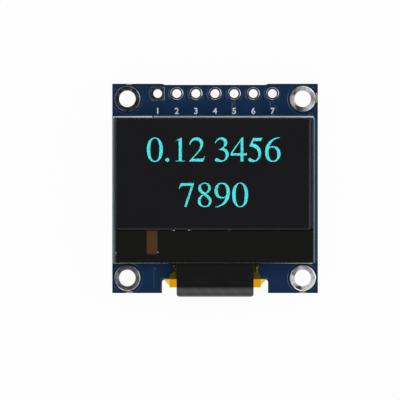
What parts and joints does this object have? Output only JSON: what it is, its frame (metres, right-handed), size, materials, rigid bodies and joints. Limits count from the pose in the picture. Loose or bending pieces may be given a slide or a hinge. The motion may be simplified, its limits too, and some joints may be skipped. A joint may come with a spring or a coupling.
{
  "type": "oled display module",
  "caption": "Small monochrome OLED display on a blue circuit board with plated corner holes, a pin header row and a folded flexible tail.",
  "frame": {"origin": "centre of the four mounting holes on the board's back face", "axes": "+X to the right as the display is read, +Y towards the header row, +Z out of the display"},
  "size_m": [0.0274, 0.0283, 0.004],
  "materials": {
    "blue_solder_mask": "glossy solder mask on glass-epoxy board",
    "tinned_copper": "uneven hot-air solder levelling",
    "foam_tape": "double-sided acrylic tape",
    "display_glass": "soda-lime display glass",
    "polarizer_film": "near-black circular polarizer",
    "emitter": "organic stack on transparent electrodes",
    "desiccant": "calcium oxide sheet",
    "seal_resin": "cured edge seal",
    "silicon": "ground and sealed silicon",
    "black_film": "black light shield film",
    "polyimide": "amber polyimide, see-through",
    "black_tape": "black polyester guard tape",
    "ceramic_white": "alumina with a black overcoat",
    "ceramic_brown": "fired titanate",
    "mould_compound": "black epoxy mould compound",
    "solder": "tin solder"
  },
  "bodies": {
    "root": {"printed_circuit_board": "blue_solder_mask", "mounting_eyelet_1": "tinned_copper", "mounting_eyelet_2": "tinned_copper", "mounting_eyelet_3": "tinned_copper", "mounting_eyelet_4": "tinned_copper", "header_eyelet_1": "tinned_copper", "header_eyelet_2": "tinned_copper", "header_eyelet_3": "tinned_copper", "header_eyelet_4": "tinned_copper", "header_eyelet_5": "tinned_copper", "header_eyelet_6": "tinned_copper", "header_eyelet_7": "tinned_copper", "bonding_tape_upper": "foam_tape", "bonding_tape_lower": "foam_tape", "cap_glass": "display_glass", "front_glass": "display_glass", "polarizer": "polarizer_film", "emitter_layer": "emitter", "desiccant_sheet": "desiccant", "edge_seal": "seal_resin", "driver_chip": "silicon", "light_shield": "black_film", "amber_film_patch": "polyimide", "display_flex": "polyimide", "guard_tape": "black_tape", "tail_solder_joints": "solder", "resistor_1": "ceramic_white", "resistor_2": "ceramic_white", "resistor_3": "ceramic_white", "resistor_4": "ceramic_white", "resistor_5": "ceramic_white", "resistor_6": "ceramic_white", "resistor_7": "ceramic_white", "capacitor_1": "ceramic_brown", "capacitor_2": "ceramic_brown", "capacitor_3": "ceramic_brown", "capacitor_4": "ceramic_brown", "capacitor_5": "ceramic_brown", "capacitor_6": "ceramic_brown", "capacitor_7": "ceramic_brown", "capacitor_8": "ceramic_brown", "resistor_terminals": "tinned_copper", "capacitor_terminals": "tinned_copper", "solder_fillets": "solder", "regulator_body": "mould_compound", "regulator_leads": "tinned_copper", "diode_body": "mould_compound", "diode_leads": "tinned_copper"}
  },
  "joints": []
}
